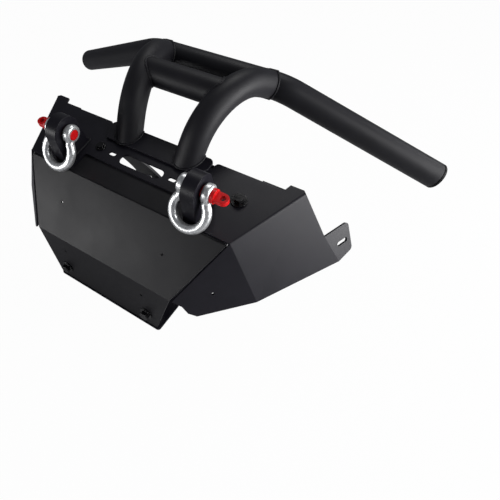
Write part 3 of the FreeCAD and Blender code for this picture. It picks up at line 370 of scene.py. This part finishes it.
seat = deck_seat()
arm_joint_x = 0.1172
arm_lean = math.radians(24.4)
arm_turn = math.radians(88.9)
arm_bend = 0.11853
arm_ways = {}
for name, sign in (("right", 1), ("left", -1)):
    foot = deck_point(0.0656, 0.118, foot_plate)
    reach = Vector((arm_joint_x - foot.x, bar_middle.y - foot.y, 0))
    foot.x *= sign
    reach.x *= sign
    back = reach.normalized()
    way = back * math.sin(arm_lean) + Vector((0, 0, math.cos(arm_lean)))
    side = back * math.cos(arm_lean) - Vector((0, 0, math.sin(arm_lean)))
    form = bmesh.new()
    drawn(form, foot - way * 0.03, way, side, tube_radius - 0.00005,
          [(0.054,), (arm_bend, arm_turn), (0.0405,)])
    arm = new_piece(name + "_arm", closed(form))
    trim = arm.modifiers.new("foot_cut", "BOOLEAN")
    trim.object = seat
    trim.operation = "DIFFERENCE"
    trim.solver = "EXACT"
    settle(arm)
    arm.data.shade_smooth()
    arm.data.set_sharp_from_angle(angle=math.radians(35))
    dress(arm, "bumper", tube_coat, [name + "_arm_tube"])
    arm_ways[name] = (foot, way, side)

# Cross tube. A short straight tube that ties the two arms together in front of the top bar.

cross_middle = Vector((0, 0.1048, 0.3498))
cross_half = Vector((0.086, 0, 0))
form = bmesh.new()
drawn(form, cross_middle - cross_half, Vector((1, 0, 0)), Vector((0, 0, 1)), tube_radius, [(2 * cross_half.x,)])
dress(new_piece("cross_tube_round", closed(form)), "bumper", tube_coat, ["cross_tube"])

# Weld beads. A rippled bead runs round each arm's foot and round each joint between tubes.


def surface(names):
    """What a ray can meet: these finished pieces as they stand."""
    return [BVHTree.FromObject(bpy.data.objects[name], bpy.context.evaluated_depsgraph_get()) for name in names]


def bead(name, point, way, targets, size=0.0022, count=96, radius=tube_radius):
    """A bead where a tube that goes along a way meets other pieces, found by looking along its skin."""
    turn = way.to_track_quat("Z", "Y").to_matrix()
    found = []
    for index in range(count):
        angle = 2 * math.pi * index / count
        start = point + turn @ Vector((math.cos(angle), math.sin(angle), 0)) * (radius + size * 0.3)
        hits = [tree.ray_cast(start, way) for tree in targets]
        hits = [hit for hit in hits if hit[0] is not None]
        if hits:
            found.append(min(hits, key=lambda hit: hit[3])[0])
    return lay_bead(name, found, size, True)


def lay_bead(name, found, size, all_round):
    """A rippled bead of weld laid along the points found."""
    curve = bpy.data.curves.new(name, "CURVE")
    curve.dimensions = "3D"
    curve.bevel_depth = size
    curve.bevel_resolution = 2
    line = curve.splines.new("POLY")
    line.points.add(len(found) - 1)
    for index, spot in enumerate(found):
        line.points[index].co = (*spot, 1)
        line.points[index].radius = 1.0 + 0.16 * math.sin(index * math.pi / 1.5)
    line.use_cyclic_u = all_round
    drawn_bead = bpy.data.objects.new(name, curve)
    bpy.context.scene.collection.objects.link(drawn_bead)
    bpy.context.view_layer.update()
    data = bpy.data.meshes.new_from_object(drawn_bead.evaluated_get(bpy.context.evaluated_depsgraph_get()))
    bpy.data.objects.remove(drawn_bead)
    data.shade_smooth()
    piece = bpy.data.objects.new(name, data)
    bpy.context.scene.collection.objects.link(piece)
    return dress(piece, "bumper", tube_coat)


bpy.context.view_layer.update()
for name, (foot, way, side) in arm_ways.items():
    sign = 1 if name == "right" else -1
    bead(name + "_foot_weld", foot + way * 0.03, -way, surface(["deck_seat"]), size=0.0018)
    last = way * math.cos(arm_turn) + side * math.sin(arm_turn)
    joint = Vector((arm_joint_x * sign, bar_middle.y, bar_middle.z))
    bead(name + "_bar_weld", joint - last * 0.07, last, surface(["top_bar"]))
    bead(name + "_cross_weld", cross_middle, Vector((sign, 0, 0)), surface([name + "_arm"]))
lug_x = 0.1374
lug_side = 0.0125
lug_front = 0.012
lug_back = 0.0715
for name, sign in (("right", 1), ("left", -1)):
    corners = [deck_point(sign * (lug_x + across), back, 0.0004)
               for across, back in ((-lug_side, lug_front), (-lug_side, lug_back), (lug_side, lug_back),
                                    (lug_side, lug_front))]
    path = []
    for start, end in zip(corners, corners[1:]):
        count = int((end - start).length / 0.0015)
        path += [start.lerp(end, index / count) for index in range(count)]
    lay_bead(name + "_lug_weld", path + corners[-1:], 0.0019, False)
bpy.data.objects.remove(seat)

# End caps. Moulded plugs in the ends of the top bar: a flat rim, a step and a shallow round dish.

cap_plastic = finish("cap_plastic", (0.0022, 0.0022, 0.0024), (0.0036, 0.0036, 0.004), (0.42, 0.52), bump=0.08,
                     sheen=0.15)
cap_profile = [(0, -0.001), (0.0243, -0.001), (0.0243, 0.0011), (0.0254, 0.0015), (0.0254, 0.005),
               (0.0247, 0.006), (0.0236, 0.0065), (0.0172, 0.0065), (0.0163, 0.0057), (0.0163, 0.0045),
               (0.0155, 0.004), (0.0098, 0.004), (0.0092, 0.005), (0, 0.0055)]
for name, sign in (("right", 1), ("left", -1)):
    form = bmesh.new()
    verts = [form.verts.new((x, 0, z)) for x, z in cap_profile]
    edges = [form.edges.new(pair) for pair in zip(verts, verts[1:])]
    bmesh.ops.spin(form, geom=verts + edges, cent=(0, 0, 0), axis=(0, 0, 1), angle=2 * math.pi, steps=72,
                   use_merge=True)
    bmesh.ops.remove_doubles(form, verts=form.verts, dist=0.00001)
    bmesh.ops.recalc_face_normals(form, faces=form.faces)
    out = -inwards.copy()
    spot = bar_end.copy()
    out.x *= sign
    spot.x *= sign
    turn = out.to_track_quat("Z", "Y").to_matrix().to_4x4()
    bmesh.ops.transform(form, verts=form.verts, matrix=Matrix.Translation(spot) @ turn)
    dress(new_piece(name + "_cap", form, 28), "bumper", cap_plastic, [name + "_end_cap"])

# Tow lugs. Thick steel plates that stand up through the deck, round-headed and drilled for the pin.

for name in ("right", "left"):
    dress(from_steel(name + "_tow_lug", 0.0016), "bumper", sheet_coat, [name + "_tow_lug"])

# Shackle bows. Forged, zinc-plated steel: round stock that flares into a bow, with a round ear at each end.

zinc = finish("zinc_plate", (0.52, 0.53, 0.54), (0.98, 0.99, 0.99), (0.26, 0.4), metal=0.8, patch=230,
              grain=420, bump=0.12)
pin_y = -0.071765
pin_z = 0.293731
hang_angle = math.radians(-116.1)
stock_radius = 0.008
flare_radius = 0.01356
flare_angle = math.radians(35.49)
bow_radius = 0.0295
bow_angle = math.radians(250.98)
bow_neck = 0.0125
ear_x = 0.0215
ear_radius = 0.0165
ear_thickness = 0.014
ear_round = 0.0045
hole_radius = 0.0098
along_x = Matrix.Rotation(math.pi / 2, 4, "Y")
for name, sign in (("right", 1), ("left", -1)):
    hang = Matrix.Translation((lug_x * sign, pin_y, pin_z)) @ Matrix.Rotation(hang_angle, 4, "X")
    form = bmesh.new()
    drawn(form, Vector((ear_x, bow_neck, 0)), Vector((0, 1, 0)), Vector((-1, 0, 0)), stock_radius,
          [(flare_radius, -flare_angle), (bow_radius, bow_angle), (flare_radius, -flare_angle)], segments=32)
    closed(form)
    for middle in (ear_x, -ear_x):
        ear = bmesh.ops.create_cone(form, cap_ends=True, segments=48, radius1=ear_radius, radius2=ear_radius,
                                    depth=ear_thickness, matrix=Matrix.Translation((middle, 0, 0)) @ along_x)
        rims = [edge for vert in ear["verts"] for edge in vert.link_edges if edge.calc_face_angle(0) > 1]
        bmesh.ops.bevel(form, geom=list(set(rims)), offset=ear_round, segments=5, profile=0.5, affect="EDGES",
                        material=-1)
    bow = new_piece(name + "_bow", form)
    skin = bow.modifiers.new("forged", "REMESH")
    skin.mode = "VOXEL"
    skin.voxel_size = 0.0009
    blend = bow.modifiers.new("blended", "SMOOTH")
    blend.factor = 0.5
    blend.iterations = 10
    settle(bow)
    drill = bmesh.new()
    bmesh.ops.create_cone(drill, cap_ends=True, segments=72, radius1=hole_radius, radius2=hole_radius,
                          depth=0.09, matrix=along_x)
    drill = new_piece("ear_drill", drill)
    holes = bow.modifiers.new("pin_holes", "BOOLEAN")
    holes.object = drill
    holes.operation = "DIFFERENCE"
    holes.solver = "EXACT"
    settle(bow)
    bpy.data.objects.remove(drill)
    bow.data.transform(hang)
    bow.data.shade_smooth()
    bow.data.set_sharp_from_angle(angle=math.radians(50))
    dress(bow, name + "_shackle", zinc, [name + "_shackle_bow"])

# Shackle pins. Red-painted screw pins with a collar and a flat eye, which is turned to tighten them.

red_paint = finish("red_paint", (0.52, 0.003, 0.004), (0.7, 0.007, 0.009), (0.3, 0.42), bump=0.05, sheen=0.22,
                   coat=0.1)
for name in ("right", "left"):
    dress(from_steel(name + "_shackle_pin", 0.0009, 40), name + "_shackle", red_paint,
          [name + "_shackle_pin"])

# Bolts, washers and nuts. Black steel fasteners on the deck, the apron and the tray.

black_steel = finish("black_steel", (0.002, 0.002, 0.0024), (0.005, 0.005, 0.006), (0.1, 0.2), patch=120,
                     grain=1500, bump=0.03, sheen=0.42)
for node in ("outer_deck_bolts", "outer_deck_washers", "outer_deck_nuts", "inner_deck_bolts", "inner_deck_nuts",
             "apron_bolts", "apron_nuts", "tray_bolts"):
    dress(from_steel(node, 0.0007, 28), "bumper", black_steel, [node])
